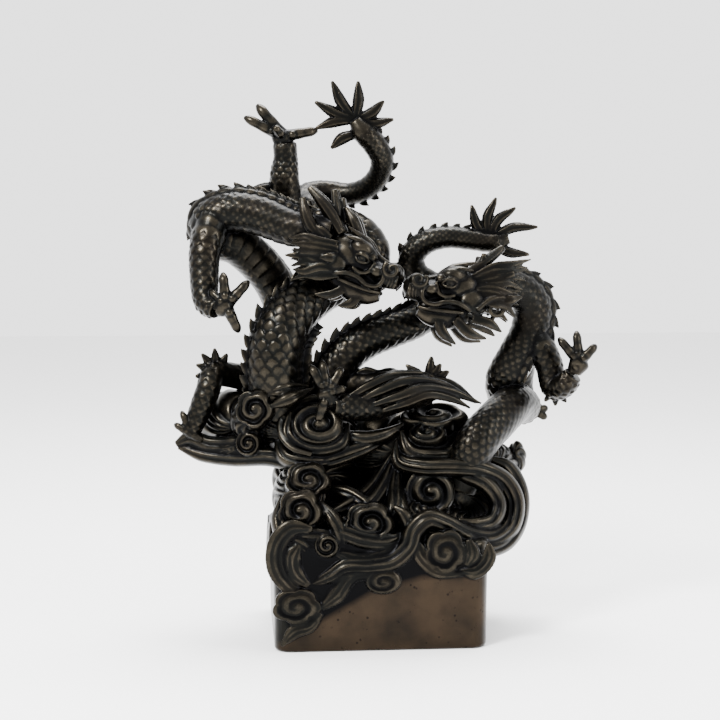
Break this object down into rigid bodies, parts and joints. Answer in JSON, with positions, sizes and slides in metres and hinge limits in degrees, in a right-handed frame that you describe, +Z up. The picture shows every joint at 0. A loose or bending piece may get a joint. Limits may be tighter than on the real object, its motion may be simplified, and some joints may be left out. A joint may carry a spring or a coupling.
{
  "type": "dragon sculpture",
  "caption": "Two scaled dragons, nose to nose, rise from a bank of scrolled clouds that spills over a rounded block, cast in dark bronze",
  "frame": {"origin": "the middle of the block's underside", "axes": "+Z up, +X to the right of somebody who faces the sculpture, -Y towards them"},
  "size_m": [0.2889, 0.1386, 0.38],
  "materials": {
    "dragon_bronze": "cast bronze under a near-black green-brown patina, rubbed to warm metal on the edges",
    "plinth_bronze": "satin brown patina with small pits and dark blotches on the plain faces, rubbed on the cloud edges"
  },
  "bodies": {
    "root": {"left_dragon_front": "dragon_bronze", "left_dragon_rear": "dragon_bronze", "right_dragon_front": "dragon_bronze", "right_dragon_rear": "dragon_bronze", "cloud_plinth": "plinth_bronze"}
  },
  "joints": []
}
